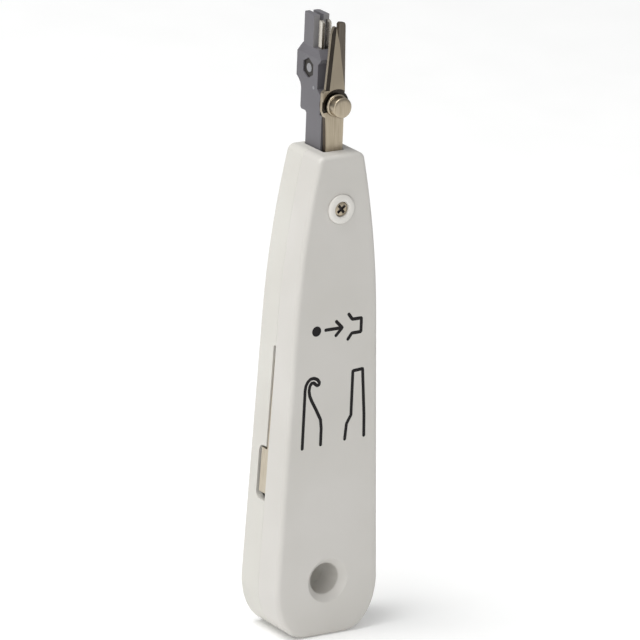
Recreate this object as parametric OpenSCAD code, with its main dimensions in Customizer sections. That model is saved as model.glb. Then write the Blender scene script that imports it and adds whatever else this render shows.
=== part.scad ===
// Insertion tool for slotted wiring contacts: two-shell handle with a hanging hole, a spring-loaded
// head with a forked tip and wire scissors, and a hook and a release blade that fold out of the sides.
//
// Units are millimetres. +Z runs up the handle to the tip, the front face looks along -Y and the
// hook is on the -X side. The origin is the middle of the bottom end.

/* [Handle] */

// Height of the handle, without the head
handle_h = 140; // [139:0.5:141]

// Width just above the bottom corners
foot_w = 34; // [33:0.5:36]

// Depth from front to back at the bottom
foot_d = 20; // [20:0.25:22]

// Depth from front to back at the top
neck_d = 17.4; // [17.4:0.1:18]

// Thickness of the shell walls
wall = 2; // [1.8:0.1:2.1]

// Width of the rounded bottom corners
corner_w = 10; // [8:0.5:11]

// Height of the rounded bottom corners
corner_h = 15; // [12:0.5:16]

// Radius of the soft edge round the front and back
edge_r = 1.5; // [1.2:0.1:1.8]

/* [Hanging hole] */

// Radius of the hole
hang_r = 4.5; // [4:0.1:4.6]

// Height of its centre above the bottom end
hang_z = 16.3; // [16:0.1:17]

// Width of the chamfer round its mouth
hang_chamfer = 2; // [1:0.1:2]

/* [Head] */

// Height of the forked tip above the bottom end
tip_z = 176.4; // [176:0.1:177]

// Gap between the two prongs
prong_gap = 1.24; // [1:0.02:1.4]

// How far the head slides into the handle
stroke = 8; // [6:0.5:8]

// Opening of the scissors when the head is out, in degrees
jaw_angle = 5; // [5:0.1:5]

/* [Fold-out tools] */

// Height of the tool pivots above the bottom end
pivot_z = 45.5; // [45:0.25:46]

// Distance of each pivot from the middle
pivot_x = 10.8; // [10.8:0.1:11]

// Thickness of the tool blades
tool_t = 0.8; // [0.6:0.1:0.8]

/* [Hidden] */

$fn = 48;
eps = 0.01;

// handle outline
taper = 0.041;                 // loss of half width per millimetre of height
waist_z = 92;                  // height where the sides start to curve in
waist_k = 0.0019;              // how fast they curve in
shoulder_r = 2.4;
rim_z = handle_h - 0.2;
shoulder_z = rim_z - shoulder_r;
face_lean = (foot_d - neck_d) / 2 / rim_z;
function half_w(z) = foot_w / 2 - taper * (z - 8) - waist_k * pow(max(0, z - waist_z), 2);
function face_y(z) = foot_d / 2 - face_lean * z;
inner_r = 0.3;                 // soft edge round the inside of the shells

// screw that holds the shells and guides the head
screw_z = 124.4;
guide_r = 2.4;
slot_half = 2.6;
slot_lo = screw_z - guide_r - 0.05;
slot_hi = screw_z + guide_r + stroke + 0.2;

// head, front to back
leg_front = -4;
leg_t = 1.4;
moving_front = leg_front + leg_t + 0.05;
moving_t = 1.3;
washer_t = 0.35;
head_front = -0.85;
cheek_front = -1.9;
stem_back = 5.95;
stem_half = 3.1;
slide_half = 5;
slide_lo = 108;
slide_hi = 137.2;
step_z = 149;
block_lo = 158;
block_hi = 165;
band_hi = 167.3;
block_half = 3.1;
block_back = 11.7;
recess_front = 0.9;
prong_half = 2.45;
prong_front = 4.8;
prong_back = 10.1;
opening_half = 3.4;
opening_front = 4.15;
opening_back = 6.3;

// insertion blade, clamp screw and cross pin
fork_front = 2;
fork_t = 1.7;
fork_half = 1.5;
fork_lo = 154.6;
fork_hi = 175.3;
nut_y = 5.85;
nut_z = 161.35;
nut_flats = 5;
nut_t = 1.2;
cross_r = 0.5;
cross_z = 156.4;

// scissors
rivet_x = 0.25;
rivet_z = 152.75;
rivet_r = 1.5;
leg_half = 2.75;
neck_half = 2.3;
cam_mid = (stroke + 0.2) / 2;
function cam_x(s) = -(rivet_z - screw_z - s) * tan(jaw_angle) * s / stroke;

// main spring
seat_z = 60;
seat_t = 1.2;
spring_r = 4;
wire_r = 0.55;
spring_lo = seat_z + seat_t + wire_r;
spring_hi = slide_lo - 1.2 - wire_r;
spring_turns = 12;

// fold-out tools and the openings they leave by
tool_y = 0.15;
eye_r = 3.2;
pin_r = 1.2;
window_lo = 39;
window_hi = 54.6;
window_y = 4.6;
slit_hi = 84.2;
slit_y = 1.1;
tab_gap = 0.3;                 // how far the tab's face lies inside the side of the handle
tab_t = 0.8;
tab_y = 3.7;
tab_lo = 41;
tab_hi = 53.8;
washer_front = -0.5;

// ---------- helpers ----------

// rod along Y between two depths
module y_rod(x, z, y0, y1, r, r2 = -1) {
    translate([x, y0, z])
        rotate([-90, 0, 0])
            cylinder(h = y1 - y0, r1 = r, r2 = r2 < 0 ? r : r2);
}

// rod along X between two places
module x_rod(y, z, x0, x1, r) {
    translate([x0, y, z])
        rotate([0, 90, 0])
            cylinder(h = x1 - x0, r = r);
}

// box given by its two far corners
module block(lo, hi) {
    translate(lo)
        cube(hi - lo);
}

// flat plate in the XZ plane with its front at depth y
module plate(y, t) {
    translate([0, y + t, 0])
        rotate([90, 0, 0])
            linear_extrude(t)
                children();
}

// one side of the handle's front outline, moved in by an inset
function side_outline(inset) = concat(
    [for (a = [270 : 15 : 345])
        [half_w(corner_h) - corner_w + (corner_w - inset) * cos(a), corner_h + (corner_h - inset) * sin(a)]],
    [[half_w(corner_h) - inset, corner_h]],
    [for (z = [waist_z : (shoulder_z - waist_z) / 8 : shoulder_z + eps]) [half_w(z) - inset, z]],
    [for (a = [30 : 30 : 90])
        [half_w(shoulder_z) - shoulder_r + (shoulder_r - inset) * cos(a),
         shoulder_z + (shoulder_r - inset) * sin(a)]]);

// the whole outline, right side up and left side down
function outline(inset) = let (right = side_outline(inset), n = len(right))
    concat(right, [for (i = [n - 1 : -1 : 0]) [-right[i][0], right[i][1]]]);

// half of a rounded handle body in front of the parting plane: rings from the plane to the face,
// the last ones drawn in by the edge radius
module half_body(inset, r, back) {
    angles = [0 : 22.5 : 90];
    rings = concat(
        [[for (p = outline(inset)) [p[0], back, p[1]]]],
        [for (a = angles) [for (p = outline(inset + r - r * cos(a)))
            [p[0], -foot_d / 2 + inset + r - r * sin(a) + face_lean * p[1], p[1]]]]);
    n = len(rings[0]);
    last = len(rings) - 1;
    polyhedron(
        points = [for (ring = rings, p = ring) p],
        faces = concat(
            [[for (i = [0 : n - 1]) i]],
            [for (k = [0 : last - 1], i = [0 : n - 1]) [k * n + i, (k + 1) * n + i, k * n + (i + 1) % n]],
            [for (k = [0 : last - 1], i = [0 : n - 1])
                [(k + 1) * n + i, (k + 1) * n + (i + 1) % n, k * n + (i + 1) % n]],
            [[for (i = [n - 1 : -1 : 0]) last * n + i]]),
        convexity = 4);
}

module half_shell() {
    difference() {
        half_body(0, edge_r, 0);
        half_body(wall, inner_r, 1);
    }
}

// post from a shell's face wall to depth y_end; the shell is in front of the parting plane
module post(x, z, r, y_end) {
    y_rod(x, z, -face_y(z) + wall / 2, y_end, r);
}

module top_opening(depth) {
    block([-opening_half, -depth, shoulder_z - 2], [opening_half, eps, handle_h + 1]);
}

module hang_cut() {
    y_rod(0, hang_z, -foot_d, eps, hang_r);
    y_rod(0, hang_z, -face_y(hang_z) - 1, -face_y(hang_z) + hang_chamfer,
          hang_r + hang_chamfer + 1, hang_r);
}

// ---------- handle ----------

module front_shell() {
    color([0.93, 0.92, 0.89])
    difference() {
        union() {
            half_shell();
            post(0, hang_z, hang_r + 2, 0);
            for (s = [-1, 1]) {
                post(s * pivot_x, pivot_z, 2.6, washer_front);
                post(s * 7, 30, 2.4, 0);
                y_rod(s * 7, 30, -1, 2.4, 1.2);
                post(s * 9, 90, 2.4, 0);
                y_rod(s * 9, 90, -1, 2.4, 1.2);
                block([s * 6 - 0.8, -face_y(60) + wall / 2, seat_z - 3], [s * 6 + 0.8, 0, seat_z + 4]);
            }
            block([-6.5, -face_y(60) + wall / 2, seat_z - 3], [6.5, 0, seat_z]);
        }
        hang_cut();
        top_opening(opening_front);
        y_rod(0, screw_z, -foot_d, 0, guide_r);
        y_rod(0, screw_z, -foot_d, -8.5, 4.3);
        for (s = [-1, 1])
            y_rod(s * pivot_x, pivot_z, -5, 0.1, pin_r);
    }
}

// side opening of the back shell, in the YZ plane: a finger window and a slit above it
module side_opening() {
    block([8, -1, window_lo + 2], [20, window_y, window_hi - 2]);
    block([8, -1, window_lo], [20, window_y - 2, window_hi]);
    block([8, -1, window_lo + 5], [20, slit_y, slit_hi]);
    x_rod(window_y - 2, window_lo + 2, 8, 20, 2);
    x_rod(window_y - 2, window_hi - 2, 8, 20, 2);
}

module back_shell() {
    color([0.93, 0.92, 0.89])
    difference() {
        union() {
            mirror([0, 1, 0]) {
                half_shell();
                post(0, hang_z, hang_r + 2, 0);
                post(0, screw_z, 3.6, -6.2);
                for (s = [-1, 1]) {
                    post(s * pivot_x, pivot_z, 2.6, -1.05);
                    post(s * 7, 30, 2.6, 0);
                    post(s * 9, 90, 2.6, 0);
                    block([s * 6 - 0.8, -face_y(60) + wall / 2, seat_z - 3], [s * 6 + 0.8, 0, seat_z + 4]);
                }
                block([-6.5, -face_y(60) + wall / 2, seat_z - 3], [6.5, 0, seat_z]);
            }
        }
        mirror([0, 1, 0]) {
            hang_cut();
            top_opening(opening_back);
        }
        y_rod(0, screw_z, 5, 8.4, 1.9);
        for (s = [-1, 1]) {
            y_rod(s * pivot_x, pivot_z, 0, 6, pin_r);
            y_rod(s * 7, 30, -eps, 3, 1.25);
            y_rod(s * 9, 90, -eps, 3, 1.25);
        }
        side_opening();
        mirror([1, 0, 0])
            side_opening();
    }
}

// flanged sleeve that the screw clamps; the head's slot runs on it
module guide_bushing() {
    color([0.95, 0.94, 0.91])
    difference() {
        union() {
            y_rod(0, screw_z, -9.2, -8.5, 4.2);
            y_rod(0, screw_z, -9.6, -9.2, 3.7, 4.2);
            y_rod(0, screw_z, -8.6, 6.2, guide_r);
        }
        y_rod(0, screw_z, -10, 7, 1.3);
        y_rod(0, screw_z, -10, -8.3, 2.2);
    }
}

module shell_screw() {
    color([0.72, 0.71, 0.7])
    difference() {
        union() {
            y_rod(0, screw_z, -9, -8.3, 2.1);
            y_rod(0, screw_z, -8.4, 8, 1.25);
        }
        for (a = [45, 135])
            translate([0, -9.5, screw_z])
                rotate([0, a, 0])
                    translate([-1.3, 0, -0.25])
                        cube([2.6, 0.95, 0.5]);
    }
}

module threaded_insert() {
    color([0.8, 0.65, 0.3])
    difference() {
        y_rod(0, screw_z, 6.2, 8.4, 1.9);
        y_rod(0, screw_z, 5, 9, 1.25);
    }
}

// ---------- head ----------

// front to back profile of the plastic head below the prongs, drawn in the YZ plane
module head_profile() {
    polygon([
        [head_front, slide_hi - eps],
        [stem_back, slide_hi - eps],
        [stem_back, step_z - 0.6],
        [stem_back + 0.5, step_z],
        [8.6, step_z],
        [9.1, step_z + 0.5],
        [9.1, block_lo - 3],
        [9.6, block_lo - 1.7],
        [10.6, block_lo - 0.7],
        [block_back, block_lo],
        [block_back, block_hi],
        [recess_front - 1.4, block_hi],
        [recess_front - 1.1, block_hi - 0.6],
        [recess_front, block_hi - 1.6],
        [recess_front, step_z + 7.4],
        [head_front, step_z + 6]]);
}

module yz_extrude(half) {
    translate([-half, 0, 0])
        rotate([90, 0, 90])
            linear_extrude(2 * half)
                children();
}

module insertion_head() {
    color([0.46, 0.46, 0.48])
    difference() {
        union() {
            yz_extrude(stem_half)
                head_profile();
            block([-block_half, cheek_front, slide_hi - eps], [-neck_half - 0.1, head_front + eps, 149.5]);
            hull() {
                block([-block_half, recess_front - 1.4, block_hi - eps], [block_half, block_back, block_hi]);
                block([-prong_half, 1.9, band_hi - eps], [prong_half, prong_back + 0.2, band_hi]);
            }
            difference() {
                block([-prong_half, prong_front, band_hi - 1], [prong_half, prong_back, tip_z]);
                for (s = [-1, 1])
                    translate([s * prong_half, prong_back, tip_z])
                        rotate([0, 0, 45])
                            cube([0.7, 0.7, 17.6], center = true);
            }
            block([-slide_half, head_front, slide_lo], [slide_half, stem_back, slide_hi]);
            block([-slide_half, leg_front + leg_t, slide_lo], [slide_half, head_front + eps, 118.5]);
        }
        block([-prong_gap / 2, fork_front, band_hi - 1.3], [prong_gap / 2, 13, tip_z + 1]);
        block([-slot_half, -6, slot_lo], [slot_half, 8, slot_hi]);
        block([-fork_half, fork_front, fork_lo], [fork_half, fork_front + fork_t, tip_z]);
        translate([-block_half - eps, nut_y, nut_z])
            rotate([0, 90, 0])
                cylinder(h = nut_t + 0.4, r = nut_flats / sqrt(3) + 0.06, $fn = 6);
        x_rod(nut_y, nut_z, -4, 4, 1.25);
        x_rod(nut_y, nut_z, block_half - 1.5, 4, 2.3);
        x_rod(fork_front + fork_t / 2, cross_z, -4, 4, cross_r);
        y_rod(rivet_x, rivet_z, -6, 4, rivet_r);
        for (s = [-1, 1])
            y_rod(s * 3.7, 115, -6, 2, 0.8);
        translate([0, 1, slide_lo - 1])
            cylinder(h = 7, r = 1.6);
    }
}

module insertion_blade() {
    color([0.75, 0.73, 0.7])
    difference() {
        block([-fork_half, fork_front, fork_lo], [fork_half, fork_front + fork_t, fork_hi]);
        block([-prong_gap / 2, 0, band_hi - 1.3], [prong_gap / 2, 6, fork_hi + 1]);
        x_rod(fork_front + fork_t / 2, cross_z, -4, 4, cross_r);
        translate([0, fork_front, fork_hi])
            rotate([35, 0, 0])
                cube([6, 3, 0.9], center = true);
    }
}

module clamp_screw() {
    color([0.7, 0.69, 0.68])
    difference() {
        union() {
            x_rod(nut_y, nut_z, -block_half + 0.3, block_half - 1.3, 1.25);
            x_rod(nut_y, nut_z, block_half - 1.5, block_half - 0.1, 2.2);
        }
        block([block_half - 0.7, nut_y - 3, nut_z - 0.3], [block_half + 1, nut_y + 3, nut_z + 0.3]);
    }
}

module clamp_nut() {
    color([0.72, 0.71, 0.7])
    translate([-block_half + 0.39, nut_y, nut_z])
        rotate([0, 90, 0])
            difference() {
                cylinder(h = nut_t, r = nut_flats / sqrt(3), $fn = 6);
                translate([0, 0, -1])
                    cylinder(h = 4, r = 1.25);
            }
}

module cross_pin() {
    color([0.7, 0.69, 0.68])
    x_rod(fork_front + fork_t / 2, cross_z, -stem_half, stem_half, cross_r);
}

// ---------- scissors ----------

module fixed_scissor_blade() {
    color([0.66, 0.62, 0.55])
    difference() {
        plate(leg_front, leg_t)
            union() {
                polygon([
                    [-leg_half, slide_hi - 0.2], [leg_half, slide_hi - 0.2], [leg_half, 157.2],
                    [1.3, 165.5], [0.6, 170], [-0.1, 172.4], [-0.7, 175.1], [-1.3, 175], [-1.85, 173],
                    [-3.15, 157.4], [-3.95, 156.9], [-4.15, 156.4], [-4.15, 151.3], [-3.3, 149.6],
                    [-3.1, 147.5], [-leg_half, 141]]);
                translate([rivet_x, rivet_z])
                    circle(r = 4.2);
                translate([-slide_half, 111])
                    square([2 * slide_half, slide_hi - 0.2 - 111]);
            }
        intersection() {
            y_rod(rivet_x, rivet_z, leg_front - 1, leg_front + 0.4, 4.6);
            block([-6, -7, 151], [6, 0, 158]);
        }
        translate([-3.15, leg_front, 157.2])
            rotate([0, atan2(1.3, 15.6), 0])
                linear_extrude(19)
                    polygon([[-2, -1], [1, -1], [1, 0], [0, 0.5], [-2, 0.5]]);
        block([-slot_half, -7, slot_lo], [slot_half, 0, slot_hi]);
        y_rod(rivet_x, rivet_z, -7, 0, rivet_r);
        for (s = [-1, 1])
            y_rod(s * 3.7, 115, -7, 0, 0.8);
    }
}

module moving_scissor_blade() {
    color([0.6, 0.58, 0.54])
    difference() {
        union() {
            y_rod(rivet_x, rivet_z, moving_front, moving_front + moving_t, 3.8);
            plate(moving_front, moving_t) {
                polygon([
                    [1, 175.4], [1.5, 175.8], [2.9, 175.6], [3.15, 174.8], [3.45, 165], [3.75, 156],
                    [neck_half, 149], [neck_half, 135], [-neck_half, 135], [-neck_half, 149],
                    [-2, 157], [0.6, 166], [1, 171]]);
                polygon([
                    [-neck_half, 136.8], [neck_half, 136.8], [4.3, 131], [4.3, 120.4], [-4.2, 120.4],
                    [-5.9, 128], [-5.9, 133]]);
            }
        }
        for (s = [0, cam_mid, 2 * cam_mid])
            y_rod(cam_x(s), screw_z + s, -6, 0, slot_half);
        for (s = [0, cam_mid])
            translate([cam_x(s), 0, screw_z + s])
                rotate([0, atan2(cam_x(s + cam_mid) - cam_x(s), cam_mid), 0])
                    block([-slot_half, -6, 0], [slot_half, 0, cam_mid + 0.02]);
        y_rod(rivet_x, rivet_z, -6, 0, rivet_r + 0.05);
    }
}

module scissor_rivet() {
    color([0.7, 0.66, 0.6])
    union() {
        y_rod(rivet_x, rivet_z, leg_front - 0.7, leg_front, 3.3);
        y_rod(rivet_x, rivet_z, leg_front - 3.2, leg_front - 0.6, 2.95);
        y_rod(rivet_x, rivet_z, leg_front - 3.5, leg_front - 3.2, 2.65, 2.95);
        y_rod(rivet_x, rivet_z, leg_front - 0.1, 4, rivet_r);
    }
}

module rivet_washer() {
    color([0.6, 0.6, 0.6])
    difference() {
        y_rod(rivet_x, rivet_z, head_front - washer_t, head_front, 2.6);
        y_rod(rivet_x, rivet_z, -6, 0, rivet_r);
    }
}

module leg_rivets() {
    color([0.7, 0.69, 0.68])
    for (s = [-1, 1]) {
        y_rod(s * 3.7, 115, leg_front - 0.05, 2, 0.8);
        y_rod(s * 3.7, 115, leg_front - 0.5, leg_front, 1.2);
    }
}

// ---------- drive spring ----------

module spring_guide() {
    color([0.3, 0.3, 0.32])
    translate([0, 1, 0])
        union() {
            translate([0, 0, slide_lo - 1.2])
                cylinder(h = 1.2, r = 4.9);
            translate([0, 0, 76])
                cylinder(h = slide_lo - 76, r = 2.2);
            translate([0, 0, slide_lo - 0.1])
                cylinder(h = 6, r = 1.6);
        }
}

module spring_seat() {
    color([0.6, 0.6, 0.6])
    translate([0, 1, seat_z])
        union() {
            cylinder(h = seat_t, r = 5);
            cylinder(h = 3.6, r = 2.8);
        }
}

// coil swept as a ring of small sections; the first and last turns lie flat
module main_spring() {
    steps = spring_turns * 20;
    sides = 6;
    function turn_z(u) = spring_lo + (spring_hi - spring_lo) * (u < 0.08 ? u * 0.35 : u > 0.92
        ? 1 - (1 - u) * 0.35 : 0.028 + (u - 0.08) * 0.944 / 0.84);
    points = [for (i = [0 : steps]) let (a = i * 18, z = turn_z(i / steps))
        for (k = [0 : sides - 1]) let (b = k * 360 / sides)
            [(spring_r + wire_r * cos(b)) * cos(a), (spring_r + wire_r * cos(b)) * sin(a),
             z + wire_r * sin(b)]];
    walls = [for (i = [0 : steps - 1], k = [0 : sides - 1]) let (m = (k + 1) % sides)
        [i * sides + k, i * sides + m, (i + 1) * sides + m, (i + 1) * sides + k]];
    color([0.55, 0.55, 0.56])
    translate([0, 1, 0])
        polyhedron(points = points,
                   faces = concat([[for (k = [0 : sides - 1]) sides - 1 - k]], walls,
                                  [[for (k = [0 : sides - 1]) steps * sides + k]]),
                   convexity = 10);
}

// ---------- fold-out tools, drawn on the -X side ----------

function tab_face(z) = half_w(z) - tab_gap;

module tool_body() {
    difference() {
        union() {
            children();
            y_rod(-pivot_x, pivot_z, tool_y, tool_y + tool_t, eye_r);
            plate(tool_y, tab_y - tool_y)
                polygon([
                    [-tab_face(tab_lo), tab_lo], [tab_t - tab_face(tab_lo), tab_lo],
                    [tab_t - tab_face(tab_hi), tab_hi], [-tab_face(tab_hi), tab_hi]]);
        }
        y_rod(-pivot_x, pivot_z, -1, 6, pin_r + 0.05);
    }
}

module hook() {
    color([0.66, 0.62, 0.55])
    tool_body()
        plate(tool_y, tool_t)
            union() {
                polygon([
                    [-tab_face(tab_lo), tab_lo], [-pivot_x, pivot_z - eye_r], [-pivot_x + eye_r, pivot_z],
                    [-8.8, 64], [-11.8, 71], [-12, 79], [-13.6, 79], [-14.6, 60],
                    [-tab_face(tab_hi), tab_hi]]);
                difference() {
                    translate([-10.9, 79])
                        circle(r = 2.7);
                    translate([-10.9, 79])
                        circle(r = 1.1);
                    translate([-12, 75])
                        square([4, 4]);
                }
            }
}

module release_blade() {
    color([0.66, 0.62, 0.55])
    mirror([1, 0, 0])
        tool_body()
            plate(tool_y, tool_t)
                polygon([
                    [-tab_face(tab_lo), tab_lo], [-pivot_x, pivot_z - eye_r], [-pivot_x + eye_r, pivot_z],
                    [-8, 61.5], [-9.4, 64.5], [-9.8, 81], [-10.4, 81.6], [-13.4, 81.6], [-14.6, 60],
                    [-tab_face(tab_hi), tab_hi]]);
}

module pivot_pins() {
    color([0.7, 0.69, 0.68])
    for (s = [-1, 1])
        y_rod(s * pivot_x, pivot_z, -5, 6, pin_r);
}

// spring washers that hold the tools by friction
module pivot_washers() {
    color([0.6, 0.6, 0.6])
    for (s = [-1, 1])
        difference() {
            y_rod(s * pivot_x, pivot_z, washer_front, tool_y - 0.05, 2.5);
            y_rod(s * pivot_x, pivot_z, -2, 2, pin_r);
        }
}

front_shell();
back_shell();
shell_screw();
guide_bushing();
threaded_insert();
insertion_head();
insertion_blade();
clamp_screw();
clamp_nut();
cross_pin();
fixed_scissor_blade();
moving_scissor_blade();
scissor_rivet();
rivet_washer();
leg_rivets();
main_spring();
spring_guide();
spring_seat();
hook();
release_blade();
pivot_pins();
pivot_washers();
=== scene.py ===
# %% [markdown]
# # A wire insertion tool
# This is a slim hand tool that presses a wire into a contact. A two-part white handle holds a
# sprung grey head, a pair of small scissors, and a hook and a blade that fold into its sides.
# The exact shapes come from a CAD model that is loaded first and never changed. What follows
# gives it finer surfaces, finishes, light and a camera.

# %% Load the frame
import math

import bmesh
import bpy
from mathutils import Matrix, Vector


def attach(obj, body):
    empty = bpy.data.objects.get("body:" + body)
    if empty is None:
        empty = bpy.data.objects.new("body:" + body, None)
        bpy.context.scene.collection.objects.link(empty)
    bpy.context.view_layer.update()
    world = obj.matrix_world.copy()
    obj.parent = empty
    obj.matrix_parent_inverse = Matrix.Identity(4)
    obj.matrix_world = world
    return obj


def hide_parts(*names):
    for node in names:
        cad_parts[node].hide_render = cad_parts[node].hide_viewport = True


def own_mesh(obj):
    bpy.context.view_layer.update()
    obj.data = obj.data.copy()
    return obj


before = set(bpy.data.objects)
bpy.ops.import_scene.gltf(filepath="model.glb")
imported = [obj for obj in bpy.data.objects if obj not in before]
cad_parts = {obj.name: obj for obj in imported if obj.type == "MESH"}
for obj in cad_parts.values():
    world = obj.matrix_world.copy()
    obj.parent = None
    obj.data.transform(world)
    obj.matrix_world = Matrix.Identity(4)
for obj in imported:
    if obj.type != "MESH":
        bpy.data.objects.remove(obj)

scene = bpy.context.scene
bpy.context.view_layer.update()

# %% [markdown]
# The numbers below are the handle's own sizes in millimetres, the same ones that the CAD model
# is drawn with. The handle is widest at its foot, loses width evenly, and then curves in
# above the waist. Its front and back lean together a little.

# %% The handle's sizes
FOOT_WIDTH, FOOT_DEPTH, NECK_DEPTH = 34.0, 20.0, 17.4
RIM, WAIST, CORNER_WIDTH, CORNER_HEIGHT, EDGE, WALL = 139.8, 92.0, 10.0, 15.0, 1.5, 2.0
LEAN = (FOOT_DEPTH - NECK_DEPTH) / 2 / RIM
HOLE_HEIGHT, HOLE_RADIUS, HOLE_CHAMFER = 16.3, 4.5, 2.0
SCREW_HEIGHT = 124.4
HEAD_OPENING_HALF, HEAD_OPENING_HEIGHT = 3.4, (132, 142)
PIVOT_X, PIVOT_HEIGHT, PIN_RADIUS = 10.8, 45.5, 1.2
SPRING_SEAT, SPRING_LOW, SPRING_HIGH = 60.0, 61.75, 106.25


def half_width(z):
    return FOOT_WIDTH / 2 - 0.041 * (z - 8) - 0.0019 * max(0.0, z - WAIST) ** 2


def face_depth(z):
    return FOOT_DEPTH / 2 - LEAN * z


print("half width at the foot, waist and neck:",
      [round(half_width(z), 2) for z in (CORNER_HEIGHT, WAIST, 136.0)])

# %% [markdown]
# ## Shape helpers
# Everything is built in millimetres and scaled to metres once, at the end, because cutting
# shapes out of each other is steadier on large numbers. A solid can be lofted through rings,
# turned on a lathe, or pushed out of a flat outline. Those three make nearly all of this tool.

# %% Mesh from points
def solid(name, points, faces):
    """A mesh object from points in millimetres, with its faces turned outwards."""
    mesh = bpy.data.meshes.new(name)
    mesh.from_pydata([Vector(p) for p in points], [], faces)
    work = bmesh.new()
    work.from_mesh(mesh)
    bmesh.ops.remove_doubles(work, verts=work.verts, dist=1e-4)
    bmesh.ops.recalc_face_normals(work, faces=work.faces)
    work.to_mesh(mesh)
    work.free()
    made = bpy.data.objects.new(name, mesh)
    scene.collection.objects.link(made)
    return made


def lofted(name, rings):
    """A closed solid through rings that hold the same number of points."""
    count = len(rings[0])
    points = [p for ring in rings for p in ring]
    faces = [list(range(count)), list(range((len(rings) - 1) * count, len(rings) * count))]
    for row in range(len(rings) - 1):
        for i in range(count):
            j = (i + 1) % count
            faces.append([row * count + i, row * count + j,
                          (row + 1) * count + j, (row + 1) * count + i])
    return solid(name, points, faces)


def turned(name, profile, x, z, sides=64, hollow=False):
    """A shape turned about an axis along Y; the profile holds (radius, depth) pairs."""
    points, rows, faces = [], [], []
    for radius, y in profile:
        if radius == 0:
            rows.append([len(points)])
            points.append((x, y, z))
        else:
            rows.append(list(range(len(points), len(points) + sides)))
            for i in range(sides):
                turn = 2 * math.pi * i / sides
                points.append((x + radius * math.cos(turn), y, z + radius * math.sin(turn)))
    for a, b in zip(rows, rows[1:] + (rows[:1] if hollow else [])):
        for i in range(sides):
            j = (i + 1) % sides
            corners = [a[i % len(a)], a[j % len(a)], b[j % len(b)], b[i % len(b)]]
            corners = list(dict.fromkeys(corners))
            if len(corners) > 2:
                faces.append(corners)
    return solid(name, points, faces)


def pushed(name, outline, start, end, axis="Y"):
    """A flat outline pushed out along one axis."""
    place = {"X": lambda a, b, h: (h, a, b), "Y": lambda a, b, h: (a, h, b),
             "Z": lambda a, b, h: (a, b, h)}[axis]
    return lofted(name, [[place(a, b, h) for a, b in outline] for h in (start, end)])


def rounded_box(low, high, radius, steps=6):
    """The outline of a rectangle with round corners."""
    corners = [(high[0], high[1], 0), (low[0], high[1], 90),
               (low[0], low[1], 180), (high[0], low[1], 270)]
    outline = []
    for x, y, start in corners:
        cx = x - math.copysign(radius, x - (low[0] + high[0]) / 2)
        cy = y - math.copysign(radius, y - (low[1] + high[1]) / 2)
        for k in range(steps + 1):
            turn = math.radians(start + 90 * k / steps)
            outline.append((cx + radius * math.cos(turn), cy + radius * math.sin(turn)))
    return outline


print("three ways of making a solid are ready")

# %% [markdown]
# A modifier's result is turned into a plain mesh with new_from_object. That keeps a finished
# piece simple, and lets one cut follow another.

# %% Cut, fuse, settle and finish
def flatten_modifiers(piece):
    """Replaces a piece's mesh by what its modifiers make of it."""
    graph = bpy.context.evaluated_depsgraph_get()
    graph.update()
    baked = bpy.data.meshes.new_from_object(piece.evaluated_get(graph),
                                            preserve_all_data_layers=True, depsgraph=graph)
    piece.modifiers.clear()
    piece.data = baked
    return piece


def combine(piece, operation, tools):
    for tool in tools:
        step = piece.modifiers.new(operation, "BOOLEAN")
        step.operation, step.object, step.solver = operation, tool, "EXACT"
        flatten_modifiers(piece)
        bpy.data.objects.remove(tool)
    return piece


def cut(piece, *tools):
    return combine(piece, "DIFFERENCE", tools)


def fuse(piece, *tools):
    return combine(piece, "UNION", tools)


def settle(piece, material, body, stands_for=(), sharp=35, millimetres=True):
    """Scales a piece to metres, shades it, and fixes it to its body."""
    if millimetres:
        piece.data.transform(Matrix.Scale(0.001, 4))
    if material is not None:
        piece.data.materials.clear()
        piece.data.materials.append(material)
    piece.data.shade_smooth()
    piece.data.set_sharp_from_angle(angle=math.radians(sharp))
    shading = piece.modifiers.new("even shading", "WEIGHTED_NORMAL")
    shading.keep_sharp = True
    flatten_modifiers(piece)
    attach(piece, body)
    if stands_for:
        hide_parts(*stands_for)
    print(piece.name, len(piece.data.polygons), "faces on", body)
    return piece


def finish_faces(piece, material, chosen):
    """Gives a second finish to the faces that a rule picks."""
    piece.data.materials.append(material)
    for face in piece.data.polygons:
        if chosen(face):
            face.material_index = len(piece.data.materials) - 1


def is_edge(face):
    return abs(face.normal.y) < 0.5


# %% [markdown]
# ## Materials
# One function turns an sRGB hex colour into the linear one that the sockets hold, and one adds
# a node with its settings and links.

# %% Colour and node helpers
def colour(code):
    parts = [int(code[i:i + 2], 16) / 255 for i in (1, 3, 5)]
    return tuple(c / 12.92 if c <= 0.04045 else ((c + 0.055) / 1.055) ** 2.4
                 for c in parts) + (1.0,)


def add(tree, kind, inputs=None, **settings):
    """Adds a node; an input is given a value, or the output socket that feeds it."""
    node = tree.nodes.new(kind)
    for key, value in settings.items():
        setattr(node, key, value)
    for key, value in (inputs or {}).items():
        if isinstance(value, bpy.types.NodeSocket):
            tree.links.new(value, node.inputs[key])
        else:
            node.inputs[key].default_value = value
    return node


def blank_material(name):
    made = bpy.data.materials.new(name)
    made.use_nodes = True
    made.node_tree.nodes.clear()
    return made, made.node_tree


print("off-white in linear colour", [round(c, 3) for c in colour("#dcd9d2")])

# %% [markdown]
# The handle is injection-moulded ABS. Its steel mould was spark eroded, which leaves a satin
# skin of grains about 0.1 mm across. The grain is drawn at 0.45 mm so that it can be seen.
# Slow clouds of colour, tens of millimetres wide, stop a large face from looking printed.

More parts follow.
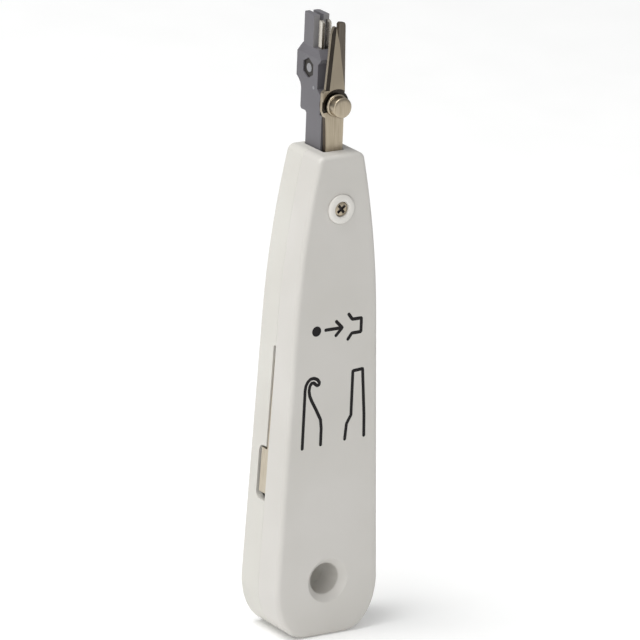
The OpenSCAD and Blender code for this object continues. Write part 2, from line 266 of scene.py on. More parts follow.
# %% Moulded plastics
def moulded(name, base, clouded, roughness, grain_mm=0.45, ior=1.53, depth_mm=0.012, glow=0.0):
    made, tree = blank_material(name)
    place = add(tree, "ShaderNodeTexCoord").outputs["Object"]
    clouds = add(tree, "ShaderNodeTexNoise",
                 {"Vector": place, "Scale": 1000 / 28, "Detail": 2.0, "Roughness": 0.5})
    spread = add(tree, "ShaderNodeMapRange", {"Value": clouds.outputs["Fac"],
                                              "From Min": 0.35, "From Max": 0.65})
    tint = add(tree, "ShaderNodeMix", {0: spread.outputs["Result"], 6: colour(base),
                                       7: colour(clouded)}, data_type="RGBA")
    grain = add(tree, "ShaderNodeTexNoise",
                {"Vector": place, "Scale": 1000 / grain_mm, "Detail": 2.0, "Roughness": 0.6})
    gloss = add(tree, "ShaderNodeMapRange",
                {"Value": grain.outputs["Fac"], "From Min": 0.3, "From Max": 0.7,
                 "To Min": roughness - 0.05, "To Max": roughness + 0.05})
    bump = add(tree, "ShaderNodeBump", {"Height": grain.outputs["Fac"], "Strength": 0.35,
                                        "Distance": depth_mm / 1000})
    skin = add(tree, "ShaderNodeBsdfPrincipled",
               {"Base Color": tint.outputs[2], "Roughness": gloss.outputs["Result"],
                "Normal": bump.outputs["Normal"], "IOR": ior,
                "Emission Color": colour("#ffffff"), "Emission Strength": glow})
    add(tree, "ShaderNodeOutputMaterial", {"Surface": skin.outputs["BSDF"]})
    return made


FRONT_ABS = moulded("satin ABS front shell", "#ccc9c4", "#c7c4be", 0.42)
BACK_ABS = moulded("satin ABS back shell", "#cdcbc4", "#c8c5be", 0.42)
BUSHING_ACETAL = moulded("acetal bushing", "#e0ddd7", "#d9d6d0", 0.33, 0.3, 1.48, 0.006)
HEAD_NYLON = moulded("glass filled nylon head", "#666468", "#5f5d61", 0.5, 0.35, 1.53, 0.02)
# Painted light: the prongs' front faces get this paler copy of the nylon, standing in for the light
# that falls on them.
LIT_FRONT_NYLON = moulded("nylon prong fronts, painted light", "#8b898a", "#838182", 0.5, 0.35, 1.53, 0.02)
GUIDE_NYLON = moulded("black nylon guide", "#35343a", "#2e2d33", 0.5, 0.35, 1.53, 0.02)
print("plastics made")

# %% [markdown]
# The flat metal parts are stamped steel with a warm nickel plate, finished on a belt. The belt
# leaves fine scratches along Z, here 0.3 mm apart and 6 mm long. A sheared edge is rougher, and
# painted darker as partly painted shade, so the scissor blades get a second finish there. The
# fixed blade's upper end is painted darker than its foot, a painted reflection of the rivet.

# %% Metals
def metal(name, base, streaked, roughness, pitch_mm=0.3, run_mm=6.0, depth_mm=0.006, tip=None):
    made, tree = blank_material(name)
    place = add(tree, "ShaderNodeTexCoord").outputs["Object"]
    stretch = add(tree, "ShaderNodeMapping",
                  {"Vector": place, "Scale": (1000 / pitch_mm, 1000 / pitch_mm, 1000 / run_mm)})
    lines = add(tree, "ShaderNodeTexNoise",
                {"Vector": stretch.outputs["Vector"], "Scale": 1.0, "Detail": 3.0})
    spread = add(tree, "ShaderNodeMapRange", {"Value": lines.outputs["Fac"],
                                              "From Min": 0.3, "From Max": 0.7})
    tint = add(tree, "ShaderNodeMix", {0: spread.outputs["Result"], 6: colour(base),
                                       7: colour(streaked)}, data_type="RGBA")
    # Painted reflection: a tip colour darkens the part from 148 to 160 mm up.
    if tip:
        height = add(tree, "ShaderNodeSeparateXYZ", {"Vector": place})
        painted_reflection_ramp = add(tree, "ShaderNodeMapRange", {"Value": height.outputs["Z"],
                                                "From Min": 0.148, "From Max": 0.160})
        tint = add(tree, "ShaderNodeMix", {0: painted_reflection_ramp.outputs["Result"], 6: tint.outputs[2],
                                           7: colour(tip)}, data_type="RGBA")
    gloss = add(tree, "ShaderNodeMapRange",
                {"Value": lines.outputs["Fac"], "From Min": 0.3, "From Max": 0.7,
                 "To Min": roughness - 0.06, "To Max": roughness + 0.06})
    bump = add(tree, "ShaderNodeBump", {"Height": lines.outputs["Fac"], "Strength": 0.3,
                                        "Distance": depth_mm / 1000})
    skin = add(tree, "ShaderNodeBsdfPrincipled",
               {"Base Color": tint.outputs[2], "Roughness": gloss.outputs["Result"],
                "Normal": bump.outputs["Normal"], "Metallic": 1.0, "Anisotropic": 0.3})
    add(tree, "ShaderNodeOutputMaterial", {"Surface": skin.outputs["BSDF"]})
    return made


NICKEL = metal("belted nickel plated steel", "#b7ab97", "#a79b87", 0.34)
TOOL_NICKEL = metal("nickel plated tool strip", "#c6bdac", "#b8ad9b", 0.34)
# Painted reflection: the fixed blade's upper end is painted darker, for the darker rivet and parts
# it reflects.
BLADE_NICKEL = metal("nickel plated blade, painted darker top", "#b7ab97", "#a79b87", 0.34,
                     tip="#938979")
DARK_STEEL = metal("hardened blade steel", "#6d665d", "#605951", 0.36)
# Painted reflection and shade: near-black steel for the cutting bevel, which reflects dark
# surroundings, and for the recessed eye face above the rivet.
BEVEL_SHADE_STEEL = metal("cutting bevel steel, painted dark", "#3f3a35", "#332f2b", 0.3, 0.25, 2.0)
# Partly painted shade: sheared edges are rougher, and painted darker for the shade they sit in
# beside the head.
SHEARED_EDGE_SHADE = metal("sheared steel edge, painted shade", "#5d5348", "#493f36", 0.48, 0.25, 1.0, 0.02)
BRIGHT = metal("bright steel", "#d5d0c6", "#c5bfb4", 0.24, 0.25, 4.0)
SPRING_WIRE = metal("drawn spring wire", "#9a9a9c", "#8a8a8d", 0.3, 0.2, 2.0)
BRASS = metal("turned brass", "#c9a553", "#b8933f", 0.3, 0.2, 2.0)
# Painted shade: dark steel for the clamp nut in its pocket and the screw's cross recess, where
# shade falls.
RECESS_SHADE_STEEL = metal("steel painted dark for recess shade", "#4a4744", "#3d3a38", 0.4, 0.3, 1.0)
print("metals made")

# %% [markdown]
# The symbols are pad-printed ink: a thin, slightly uneven black film with a soft sheen.

# %% Ink
INK, ink_tree = blank_material("pad printed ink")
ink_place = add(ink_tree, "ShaderNodeTexCoord").outputs["Object"]
ink_noise = add(ink_tree, "ShaderNodeTexNoise",
                {"Vector": ink_place, "Scale": 1000 / 0.4, "Detail": 2.0})
ink_gloss = add(ink_tree, "ShaderNodeMapRange",
                {"Value": ink_noise.outputs["Fac"], "To Min": 0.35, "To Max": 0.6})
ink_tint = add(ink_tree, "ShaderNodeMix", {0: ink_noise.outputs["Fac"], 6: colour("#100e0f"),
                                           7: colour("#1c181a")}, data_type="RGBA")
ink_skin = add(ink_tree, "ShaderNodeBsdfPrincipled",
               {"Base Color": ink_tint.outputs[2], "Roughness": ink_gloss.outputs["Result"],
                "IOR": 1.48, "Specular IOR Level": 0.2})
add(ink_tree, "ShaderNodeOutputMaterial", {"Surface": ink_skin.outputs["BSDF"]})
print("ink made")

# %% [markdown]
# ## Camera, floor and light
# The tool is looked at from its left front and a little above, through a long lens, which
# keeps its sides nearly parallel. The camera is tipped slightly about its own axis.

# %% Camera
def aim(azimuth, elevation, roll, target, distance):
    a, e, r = map(math.radians, (azimuth, elevation, roll))
    back = Vector((math.sin(a) * math.cos(e), -math.cos(a) * math.cos(e), math.sin(e)))
    right = Vector((math.cos(a), math.sin(a), 0))
    up = Vector((-math.sin(a) * math.sin(e), math.cos(a) * math.sin(e), math.cos(e)))
    right, up = (math.cos(r) * right + math.sin(r) * up,
                 -math.sin(r) * right + math.cos(r) * up)
    pose = Matrix((right, up, back)).transposed().to_4x4()
    pose.translation = Vector(target) + back * distance
    return pose


lens = bpy.data.cameras.new("camera")
lens.lens, lens.sensor_width, lens.clip_start, lens.clip_end = 420.0, 36.0, 0.1, 60.0
camera = bpy.data.objects.new("camera", lens)
scene.collection.objects.link(camera)
camera.matrix_world = aim(-33.0, 17.7, 2.32, (0.0003, 0.0, 0.08975), 2.07)
scene.camera = camera
print("camera at", [round(c, 3) for c in camera.matrix_world.translation])

# %% [markdown]
# The floor is a wide sheet of matt white paper, lit faintly from below. A broad lamp high on
# the left lights the tool's left side and the paper, a weaker one stands low at the left
# front, and a pale sky fills the rest, so the front falls into soft shade.

# %% Floor, lamps and sky
PAPER = moulded("matt white paper", "#fbfbfa", "#f9f9f8", 0.9, 2.0, 1.4, 0.01, glow=0.1)
floor = turned("floor", [(0, -1), (15000, -1), (15000, 0), (0, 0)], 0, 0, 96)
floor.data.transform(Matrix.Rotation(math.radians(-90), 4, "X"))
floor.data.transform(Matrix.Scale(0.001, 4))
floor.data.materials.append(PAPER)
floor_top = max(v.co.z for v in floor.data.vertices)
floor.data.transform(Matrix.Translation((0, 0, -floor_top)))

for name, power, azimuth, elevation in (("key", 25.0, -98, 66), ("fill", 8.0, -52, 20)):
    light = bpy.data.lights.new(name, "AREA")
    light.shape, light.size, light.energy = "DISK", 1.3, power
    lamp = bpy.data.objects.new(name, light)
    scene.collection.objects.link(lamp)
    lamp.matrix_world = aim(azimuth, elevation, 0, (0, 0, 0.08), 1.9)

sky = bpy.data.worlds.new("sky")
sky.use_nodes = True
sky.node_tree.nodes.clear()
direction = add(sky.node_tree, "ShaderNodeTexCoord").outputs["Generated"]
height = add(sky.node_tree, "ShaderNodeSeparateXYZ", {"Vector": direction})
level = add(sky.node_tree, "ShaderNodeMapRange",
            {"Value": height.outputs["Z"], "From Min": 0.0, "From Max": 0.9,
             "To Min": 0.31, "To Max": 0.56})
glow = add(sky.node_tree, "ShaderNodeBackground",
           {"Color": colour("#fdfeff"), "Strength": level.outputs["Result"]})
add(sky.node_tree, "ShaderNodeOutputWorld", {"Surface": glow.outputs["Background"]})
scene.world = sky
scene.view_settings.view_transform = "Standard"
print("floor, lamps and sky ready")

# %% [markdown]
# ## The handle
# Two moulded half shells meet on a plane. Each could be sculpted from a subdivided box, but
# its shape follows a rule: the same outline shrinks along a quarter circle to make the soft
# edge. So it is lofted through rings of that outline. A first ring drawn in by a tenth of
# a millimetre gives the fine groove where the shells meet.

# %% Outline of the handle
def arc(x, z, radius, start, end, steps):
    return [(x + radius * math.cos(math.radians(start + (end - start) * k / steps)),
             z + radius * math.sin(math.radians(start + (end - start) * k / steps)))
            for k in range(steps + 1)]


SHOULDER, SHOULDER_START = 2.4, 137.9


def right_side(inset):
    slope = math.degrees(math.atan(0.041 + 2 * 0.0019 * (SHOULDER_START - WAIST)))
    foot = []
    for k in range(17):
        turn = math.radians(270 + 88 * k / 17)
        foot.append((half_width(CORNER_HEIGHT) - CORNER_WIDTH
                     + (CORNER_WIDTH - inset) * math.cos(turn),
                     CORNER_HEIGHT + (CORNER_HEIGHT - inset) * math.sin(turn)))
    heights = [CORNER_HEIGHT + (WAIST - CORNER_HEIGHT) * k / 6 for k in range(7)]
    heights += [WAIST + (SHOULDER_START - WAIST) * k / 18 for k in range(1, 18)]
    side = [(half_width(z) - inset, z) for z in heights]
    turn = math.radians(slope)
    centre = (half_width(SHOULDER_START) - SHOULDER * math.cos(turn),
              SHOULDER_START - SHOULDER * math.sin(turn))
    return foot + side + arc(*centre, SHOULDER - inset, slope, 90, 12)


def outline(inset):
    right = right_side(inset)
    return right + [(-x, z) for x, z in reversed(right)]


def half_body(name, inset, edge, back, groove=0.0, lip=0.3):
    """Rings from the parting plane to the front face, in millimetres."""
    rings = []
    if groove:
        rings.append([(x, back, z) for x, z in outline(inset + groove)])
    rings.append([(x, back - groove, z) for x, z in outline(inset)])
    for k in range(11):
        turn = math.radians(9 * k)
        rings.append([(x, -face_depth(z) + inset + edge * (1 - math.sin(turn)), z)
                      for x, z in outline(inset + edge * (1 - math.cos(turn)))])
    rings.append([(x, -face_depth(z) + inset, z) for x, z in outline(inset + edge + lip)])
    return lofted(name, rings)


print("outline points", len(outline(0)))

# %% [markdown]
# The hanging hole goes right through, with a 2 mm chamfer whose two edges are a little soft.
# Its cutter is turned, and each ring near the face is sheared to follow the leaning face, so
# the chamfer is even all the way round.

# %% Cutters and posts for a shell
def hole_cutter():
    low, high = HOLE_RADIUS, HOLE_RADIUS + HOLE_CHAMFER
    rim = [(low, HOLE_CHAMFER + 0.3), (low + 0.06, HOLE_CHAMFER), (low + 0.22, HOLE_CHAMFER - 0.26),
           (high - 0.22, 0.18), (high - 0.04, 0.045), (high + 0.2, -0.015), (high + 0.4, -0.05),
           (high + 0.4, -2.0), (0, -2.0)]
    tool = turned("hole", [(0, 1.0), (HOLE_RADIUS, 1.0)] + [(r, d - 50) for r, d in rim],
                  0, HOLE_HEIGHT, 96)
    for v in tool.data.vertices:
        if v.co.y < -10:
            v.co.y += 50 - face_depth(v.co.z)
    return tool


def post(x, z, radius, end):
    start = -face_depth(z) + 1.0
    return turned("post", [(0, start), (radius, start), (radius, end), (0, end)], x, z, 40)


def rod(x, z, radius, start, end, sides=40):
    return turned("rod", [(0, start), (radius, start), (radius, end), (0, end)], x, z, sides)


def bar(low, high):
    outline_xz = [(low[0], low[2]), (high[0], low[2]), (high[0], high[2]), (low[0], high[2])]
    return pushed("bar", outline_xz, low[1], high[1])


def opening(depth):
    """The slot in the handle's top that the head slides through."""
    flat = rounded_box((-HEAD_OPENING_HALF, -depth), (HEAD_OPENING_HALF, depth), 0.5)
    flat = [(x, min(y, 0.5)) for x, y in flat]
    return pushed("opening", flat, *HEAD_OPENING_HEIGHT, "Z")


print("cutters ready")

# %% Front shell
def shell_blank(name):
    shell = half_body(name, 0, EDGE, 0, 0.1)
    cut(shell, half_body("cavity", WALL, 0.3, 1.0, lip=0.05))
    spread = [(s * PIVOT_X, PIVOT_HEIGHT, 2.6) for s in (-1, 1)]
    return shell, spread


def spring_stop(end):
    front = -face_depth(60) + 1.0
    stop = bar((-6.5, front, SPRING_SEAT - 3), (6.5, end, SPRING_SEAT))
    return stop, [bar((s * 6 - 0.8, front, SPRING_SEAT - 3), (s * 6 + 0.8, end, SPRING_SEAT + 4))
                  for s in (-1, 1)]


front_shell, pivots = shell_blank("front_shell_moulding")
posts = [post(0, HOLE_HEIGHT, HOLE_RADIUS + 2, -0.02)]
posts += [post(x, z, r, -0.5) for x, z, r in pivots]
posts += [post(s * 7, 30, 2.4, -0.02) for s in (-1, 1)]
posts += [post(s * 9, 90, 2.4, -0.02) for s in (-1, 1)]
posts += [rod(s * x, z, 1.2, -1, 2.4) for s in (-1, 1) for x, z in ((7, 30), (9, 90))]
stop, cheeks = spring_stop(-0.02)
fuse(front_shell, *posts, stop, *cheeks)
cut(front_shell, hole_cutter(), opening(4.15),
    rod(0, SCREW_HEIGHT, 2.4, -20, 1), rod(0, SCREW_HEIGHT, 4.3, -20, -8.5, 64),
    *[rod(s * PIVOT_X, PIVOT_HEIGHT, PIN_RADIUS, -5, 0.1) for s in (-1, 1)])
settle(front_shell, FRONT_ABS, "handle", ["front_shell"])

# %% [markdown]
# The back shell is the same form turned round. It also has the finger window and the slit
# on each side that the hook and the blade swing out through.

# %% Back shell
def face_about(piece):
    """Mirrors a piece through the parting plane and turns its faces outwards again."""
    piece.data.transform(Matrix.Scale(-1, 4, (0, 1, 0)))
    piece.data.flip_normals()
    return piece


back_shell, pivots = shell_blank("back_shell_moulding")
posts = [post(0, HOLE_HEIGHT, HOLE_RADIUS + 2, -0.02), post(0, SCREW_HEIGHT, 3.6, -6.2)]
posts += [post(x, z, r, -1.05) for x, z, r in pivots]
posts += [post(s * 7, 30, 2.6, -0.02) for s in (-1, 1)]
posts += [post(s * 9, 90, 2.6, -0.02) for s in (-1, 1)]
stop, cheeks = spring_stop(-0.02)
fuse(back_shell, *posts, stop, *cheeks)
cut(back_shell, hole_cutter(), opening(6.3))
face_about(back_shell)


def side_opening(side):
    """The window with round back corners, and the slit above it, in the YZ plane."""
    window = [(-1, 39), (2.6, 39)] + arc(2.6, 41, 2, -90, 0, 8)[1:]
    window += arc(2.6, 52.6, 2, 0, 90, 8) + [(1.1, 54.6), (1.1, 83.8), (0.7, 84.2), (-1, 84.2)]
    reach = (-20, -8) if side < 0 else (8, 20)
    return pushed("window", window, *reach, axis="X")


cut(back_shell, side_opening(-1), side_opening(1), rod(0, SCREW_HEIGHT, 1.9, 5, 8.4),
    *[rod(s * PIVOT_X, PIVOT_HEIGHT, PIN_RADIUS, 0, 6) for s in (-1, 1)],
    *[rod(s * x, z, 1.25, -0.1, 3) for s in (-1, 1) for x, z in ((7, 30), (9, 90))])
settle(back_shell, BACK_ABS, "handle", ["back_shell"])

# %% [markdown]
# ## The screw and its bushing
# A white bushing stands proud of the face and the screw sits in it. Both are turned parts, so
# both are lathe profiles. The screw's cross recess is cut by two tapered bars.

# %% Bushing and screw
bushing_profile = [(2.4, 6.2), (1.3, 6.2), (1.3, -8.3), (2.2, -8.3), (2.2, -9.3), (2.3, -9.48),
                   (2.55, -9.58), (3.0, -9.6), (3.6, -9.56), (3.95, -9.42), (4.12, -9.2),
                   (4.2, -8.95), (4.2, -8.5), (2.4, -8.5)]
bushing = turned("guide_bushing_ring", bushing_profile, 0, SCREW_HEIGHT, 80, hollow=True)
settle(bushing, BUSHING_ACETAL, "handle", ["guide_bushing"], 50)

screw = turned("shell_screw_body",
               [(0, -8.98), (1.2, -8.97), (1.75, -8.92), (2.0, -8.82), (2.1, -8.65), (2.1, -8.3),
                (1.25, -8.3), (1.25, 7.7), (0.95, 8.0), (0, 8.0)], 0, SCREW_HEIGHT, 64)


def wing(turn):
    """One tapered bar of a cross recess."""
    rings = []
    for y, length, width in ((-9.4, 1.6, 0.46), (-8.9, 1.5, 0.42), (-8.5, 0.8, 0.2)):
        corners = [(-length, -width), (length, -width), (length, width), (-length, width)]
        c, s = math.cos(turn), math.sin(turn)
        rings.append([(x * c - z * s, y, SCREW_HEIGHT + x * s + z * c) for x, z in corners])
    return lofted("wing", rings)


cut(screw, wing(math.radians(38)), wing(math.radians(128)))
settle(screw, NICKEL, "handle", ["shell_screw"], 30)
# Painted shade: the inside of the cross recess gets the dark steel.
finish_faces(screw, RECESS_SHADE_STEEL, lambda face: -0.00888 < face.center.y < -0.0084
             and math.hypot(face.center.x, face.center.z - SCREW_HEIGHT / 1000) < 0.0017)

# %% [markdown]
# ## Softened copies
# The head and the stamped parts are already exact in the CAD model but have perfectly sharp
# edges, which never catch light as a real edge does. A copy is merged, its flat faces are
# joined up, and a small bevel rounds every corner.

# %% Copy a CAD node with soft edges
def softened(node, name, width_mm, segments=2, limit=30):
    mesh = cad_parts[node].data.copy()
    mesh.materials.clear()
    work = bmesh.new()
    work.from_mesh(mesh)
    bmesh.ops.remove_doubles(work, verts=work.verts, dist=2e-6)
    bmesh.ops.dissolve_limit(work, angle_limit=math.radians(0.6), verts=work.verts,
                             edges=work.edges)
    work.to_mesh(mesh)
    work.free()
    if "custom_normal" in mesh.attributes:
        mesh.attributes.remove(mesh.attributes["custom_normal"])
    piece = bpy.data.objects.new(name, mesh)
    scene.collection.objects.link(piece)
    soft = piece.modifiers.new("soft edges", "BEVEL")
    soft.width, soft.segments, soft.limit_method = width_mm / 1000, segments, "ANGLE"
    soft.angle_limit, soft.use_clamp_overlap = math.radians(limit), True
    soft.miter_outer = "MITER_ARC"
    return flatten_modifiers(piece)


head = softened("insertion_head", "insertion_head_moulding", 0.2, 3, 12)
settle(head, HEAD_NYLON, "head", ["insertion_head"], 14, millimetres=False)
# Painted light: front-facing prong faces above 165.5 mm get the paler nylon.
finish_faces(head, LIT_FRONT_NYLON, lambda face: face.center.z > 0.1655 and face.normal.y < -0.7)
fork = softened("insertion_blade", "insertion_blade_steel", 0.09)
settle(fork, BRIGHT, "head", ["insertion_blade"], millimetres=False)

# %% Scissors
# Heights and depths in metres that part the fixed blade's leg, eye and cutting bevel.
LEG_TOP, EYE_LOW, BEVEL_LOW, RELIEF_FLOOR = 0.149, 0.150, 0.1572, -0.0037
fixed_blade = softened("fixed_scissor_blade", "fixed_scissor_blade_steel", 0.1)
settle(fixed_blade, BLADE_NICKEL, "head", ["fixed_scissor_blade"],
       millimetres=False)
# Partly painted shade: the leg's edges get the dark sheared finish, for the shade between the leg
# and the head.
finish_faces(fixed_blade, SHEARED_EDGE_SHADE, lambda face: is_edge(face) and face.center.z < LEG_TOP)
# Painted reflection: the left-facing cutting bevel above 157.2 mm is painted near black.
finish_faces(fixed_blade, BEVEL_SHADE_STEEL, lambda face: face.center.z > BEVEL_LOW
             and face.normal.x < -0.3 and -0.97 < face.normal.y < -0.7)
# Painted shade: the eye's front faces set back behind the leg, above the rivet, are painted near
# black.
finish_faces(fixed_blade, BEVEL_SHADE_STEEL, lambda face: face.normal.y < -0.9
             and EYE_LOW < face.center.z < 0.158 and face.center.y > RELIEF_FLOOR)
moving_blade = softened("moving_scissor_blade", "moving_scissor_blade_steel", 0.1)
settle(moving_blade, DARK_STEEL, "scissor_blade", ["moving_scissor_blade"],
       millimetres=False)
# Partly painted shade: the moving blade's edges get the dark sheared finish.
finish_faces(moving_blade, SHEARED_EDGE_SHADE, is_edge)

# %% [markdown]
# The scissors' rivet has a tall turned head on a shoulder. Its face is very slightly domed by
# the press that closed it, and its rim is rounded.

# %% Rivet
rivet = turned("scissor_rivet_head",
               [(0, -7.5), (1.7, -7.49), (2.3, -7.45), (2.65, -7.36), (2.85, -7.2), (2.95, -6.95),
                (2.95, -4.78), (3.1, -4.7), (3.22, -4.6), (3.3, -4.42), (3.3, -4.08), (3.22, -4.0),
                (1.5, -4.0), (1.5, 3.9), (1.4, 4.0), (0, 4.0)], 0.25, 152.75, 72)
settle(rivet, NICKEL, "head", ["scissor_rivet"], 40)

# %% [markdown]
# ## Fold-out tools
# The hook and the blade are stamped from the same strip, with a tab bent over for the
# fingernail.

# %% Hook and release blade
for node, body in (("hook", "hook"), ("release_blade", "release_blade")):
    tool = softened(node, node + "_steel", 0.08)
    settle(tool, TOOL_NICKEL, body, [node], millimetres=False)

# %% [markdown]
# ## Spring, by Geometry Nodes
# A coil follows one rule, so a small node tree makes it: a spiral curve carries a round
# wire section. The tree's inputs are what a spring maker would ask for.

# %% Spring tree
def node_tree(name, inputs):
    """A geometry tree with named inputs; each is (socket type, default)."""
    tree = bpy.data.node_groups.new(name, "GeometryNodeTree")
    tree.interface.new_socket("Geometry", in_out="INPUT", socket_type="NodeSocketGeometry")
    names = {}
    for key, (kind, value) in inputs.items():
        socket = tree.interface.new_socket(key, in_out="INPUT", socket_type=kind)
        if value is not None:
            socket.default_value = value
        names[key] = socket.identifier
    tree.interface.new_socket("Geometry", in_out="OUTPUT", socket_type="NodeSocketGeometry")
    return tree, names, add(tree, "NodeGroupInput")


def grown(name, tree, names, values, start=None):
    """A piece made by a geometry tree, turned into a plain mesh."""
    mesh = start or bpy.data.meshes.new(name)
    piece = bpy.data.objects.new(name, mesh)
    scene.collection.objects.link(piece)
    step = piece.modifiers.new(tree.name, "NODES")
    step.node_group = tree
    for key, value in values.items():
        step[names[key]] = value
    return flatten_modifiers(piece)


coil, coil_names, given = node_tree("coil spring", {
    "Turns": ("NodeSocketFloat", 12.0), "Coil Radius": ("NodeSocketFloat", 4.0),
    "Wire Radius": ("NodeSocketFloat", 0.55), "Height": ("NodeSocketFloat", 44.5),
    "Finish": ("NodeSocketMaterial", None)})
path = add(coil, "GeometryNodeCurveSpiral",
           {"Resolution": 32, "Rotations": given.outputs["Turns"],
            "Start Radius": given.outputs["Coil Radius"],
            "End Radius": given.outputs["Coil Radius"], "Height": given.outputs["Height"]})
wire = add(coil, "GeometryNodeCurvePrimitiveCircle",
           {"Resolution": 12, "Radius": given.outputs["Wire Radius"]})
swept = add(coil, "GeometryNodeCurveToMesh",
            {"Curve": path.outputs["Curve"], "Profile Curve": wire.outputs["Curve"],
             "Fill Caps": True})
real = add(coil, "GeometryNodeRealizeInstances", {"Geometry": swept.outputs["Mesh"]})
coated = add(coil, "GeometryNodeSetMaterial", {"Geometry": real.outputs["Geometry"],
                                               "Material": given.outputs["Finish"]})
add(coil, "NodeGroupOutput", {"Geometry": coated.outputs["Geometry"]})

spring = grown("main_spring_coil", coil, coil_names, {
    "Turns": 12.0, "Coil Radius": 4.0, "Wire Radius": 0.55,
    "Height": SPRING_HIGH - SPRING_LOW, "Finish": SPRING_WIRE})
spring.data.transform(Matrix.Translation((0, 1, SPRING_LOW)))
settle(spring, SPRING_WIRE, "handle", ["main_spring"])
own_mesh(spring)

# %% [markdown]
# ## Printed symbols, by Geometry Nodes
# A hook and a blade are printed on the face to say which side folds out. Above them is a plain
# working symbol: a wire end, an arrow and a two-pronged contact. Each stroke follows
# a path, so one tree draws them all: it sweeps a round section, puts a round end on each tip,
# flattens the lot to a film and lays it on the leaning face.

# %% Stroke tree
strokes, stroke_names, given = node_tree("printed stroke", {
    "Line Width": ("NodeSocketFloat", 0.75), "Film Height": ("NodeSocketFloat", 0.05),
    "Unevenness": ("NodeSocketFloat", 0.08), "Seed": ("NodeSocketFloat", 3.0),
    "Foot Depth": ("NodeSocketFloat", FOOT_DEPTH / 2), "Lean": ("NodeSocketFloat", LEAN),
    "Finish": ("NodeSocketMaterial", None)})
half = add(strokes, "ShaderNodeMath", {0: given.outputs["Line Width"], 1: 0.5},
           operation="MULTIPLY").outputs[0]
line = add(strokes, "GeometryNodeMeshToCurve", {"Mesh": given.outputs["Geometry"]})
fine = add(strokes, "GeometryNodeResampleCurve", {"Curve": line.outputs["Curve"], "Length": 0.3},
           mode="LENGTH")
spot = add(strokes, "ShaderNodeTexNoise", {"W": given.outputs["Seed"], "Scale": 1.6},
           noise_dimensions="4D")
swing = add(strokes, "ShaderNodeMath", {0: spot.outputs["Fac"], 1: 0.5}, operation="SUBTRACT")
swing = add(strokes, "ShaderNodeMath", {0: swing.outputs[0], 1: given.outputs["Unevenness"]},
            operation="MULTIPLY")
thick = add(strokes, "ShaderNodeMath", {0: swing.outputs[0], 1: 1.0}, operation="ADD")
varied = add(strokes, "GeometryNodeSetCurveRadius", {"Curve": fine.outputs["Curve"],
                                                     "Radius": thick.outputs[0]})
section = add(strokes, "GeometryNodeCurvePrimitiveCircle", {"Resolution": 12, "Radius": half})
tube = add(strokes, "GeometryNodeCurveToMesh",
           {"Curve": varied.outputs["Curve"], "Profile Curve": section.outputs["Curve"],
            "Fill Caps": True})
ball = add(strokes, "GeometryNodeMeshUVSphere", {"Segments": 16, "Rings": 8, "Radius": half})
ends = add(strokes, "GeometryNodeCurveEndpointSelection")
tips = add(strokes, "GeometryNodeInstanceOnPoints",
           {"Points": varied.outputs["Curve"], "Selection": ends.outputs["Selection"],
            "Instance": ball.outputs["Mesh"]})
both = add(strokes, "GeometryNodeJoinGeometry")
for output in (tube.outputs["Mesh"], tips.outputs["Instances"]):
    strokes.links.new(output, both.inputs["Geometry"])
real = add(strokes, "GeometryNodeRealizeInstances", {"Geometry": both.outputs["Geometry"]})
where = add(strokes, "GeometryNodeInputPosition").outputs["Position"]
parts = add(strokes, "ShaderNodeSeparateXYZ", {"Vector": where})
flat = add(strokes, "ShaderNodeMath", {0: parts.outputs["Y"], 1: given.outputs["Film Height"]},
           operation="MULTIPLY")
rise = add(strokes, "ShaderNodeMath", {0: parts.outputs["Z"], 1: given.outputs["Lean"]},
           operation="MULTIPLY")
back = add(strokes, "ShaderNodeMath", {0: rise.outputs[0], 1: given.outputs["Foot Depth"]},
           operation="SUBTRACT")
depth = add(strokes, "ShaderNodeMath", {0: flat.outputs[0], 1: back.outputs[0]}, operation="ADD")
laid = add(strokes, "ShaderNodeCombineXYZ", {"X": parts.outputs["X"], "Y": depth.outputs[0],
                                             "Z": parts.outputs["Z"]})
moved = add(strokes, "GeometryNodeSetPosition", {"Geometry": real.outputs["Geometry"],
                                                 "Position": laid.outputs["Vector"]})
inked = add(strokes, "GeometryNodeSetMaterial", {"Geometry": moved.outputs["Geometry"],
                                                 "Material": given.outputs["Finish"]})
add(strokes, "NodeGroupOutput", {"Geometry": inked.outputs["Geometry"]})
print("stroke tree", len(strokes.nodes), "nodes")

# %% Draw the symbols
def drawing(paths):
    mesh = bpy.data.meshes.new("paths")
    points, edges = [], []
    for line in paths:
        edges += [(len(points) + i, len(points) + i + 1) for i in range(len(line) - 1)]
        points += [(x, 0, z) for x, z in line]
    mesh.from_pydata(points, edges, [])
    return mesh


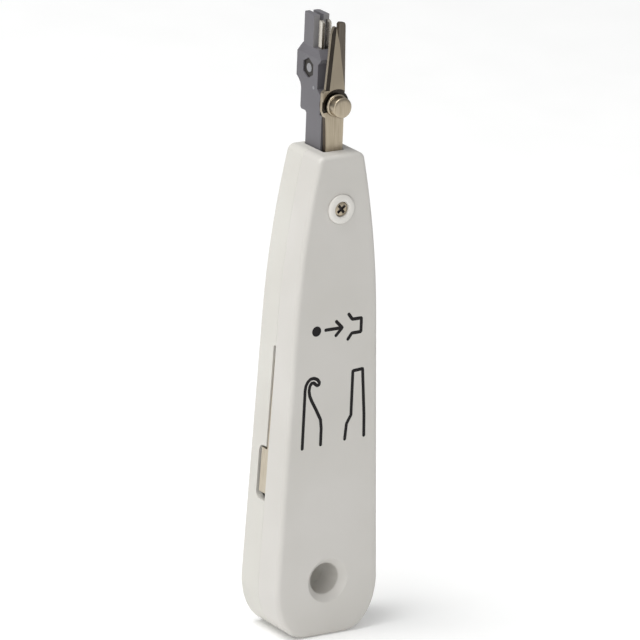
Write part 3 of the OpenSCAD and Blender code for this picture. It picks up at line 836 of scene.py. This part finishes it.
hook_symbol = [[(-10.0, 56.4), (-9.8, 68.0), (-9.7, 73.2), (-9.5, 74.6), (-8.9, 75.7),
                (-8.0, 76.4), (-6.9, 76.5), (-5.8, 76.0), (-5.1, 75.1), (-5.2, 74.4),
                (-5.8, 74.2), (-6.4, 74.7), (-7.0, 75.2), (-7.7, 75.1), (-8.2, 74.3),
                (-8.4, 73.0), (-8.1, 71.4), (-7.4, 69.9), (-5.9, 67.2), (-4.3, 64.1),
                (-4.0, 61.6), (-4.0, 56.8)]]
blade_symbol = [[(3.9, 57.3), (4.3, 61.7), (5.7, 64.1), (5.8, 76.9), (9.0, 77.1),
                 (10.0, 63.7), (10.2, 57.5)]]
work_symbol = [[(-3.6, 90.0), (1.6, 90.0)], [(-0.2, 92.0), (1.8, 90.0), (-0.2, 88.0)],
               [(3.8, 93.6), (5.0, 92.0), (8.0, 92.0), (8.0, 88.0), (5.0, 88.0), (3.8, 86.4)]]
for name, lines in (("hook_symbol", hook_symbol), ("blade_symbol", blade_symbol),
                    ("work_symbol", work_symbol)):
    piece = grown(name, strokes, stroke_names,
                  {"Line Width": 1.0, "Film Height": 0.06, "Unevenness": 0.4, "Seed": 3.0,
                   "Foot Depth": FOOT_DEPTH / 2, "Lean": LEAN, "Finish": INK}, drawing(lines))
    settle(piece, INK, "handle")

wire_end = turned("wire_symbol", [(0, -0.03), (1.45, -0.03), (1.5, 0.03), (0, 0.03)],
                  -6.6, 90.0, 48)
for v in wire_end.data.vertices:
    v.co.y -= face_depth(v.co.z)
settle(wire_end, INK, "handle")

# %% [markdown]
# ## Everything else
# The parts below already have the right shape, so they keep their CAD mesh and only change
# their finish.

# %% Finishes for the kept parts
# Painted shade: the clamp nut gets the dark steel, for the shade in its pocket.
KEPT = {"threaded_insert": BRASS, "clamp_screw": SPRING_WIRE, "clamp_nut": RECESS_SHADE_STEEL,
        "cross_pin": SPRING_WIRE, "rivet_washer": BRIGHT, "leg_rivets": BRIGHT,
        "spring_guide": GUIDE_NYLON, "spring_seat": BRIGHT, "pivot_pins": BRIGHT,
        "pivot_washers": SPRING_WIRE}
for node, material in KEPT.items():
    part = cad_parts[node]
    for place in part.material_slots:
        place.link = "OBJECT"
        place.material = material
print("kept", len(KEPT), "parts")
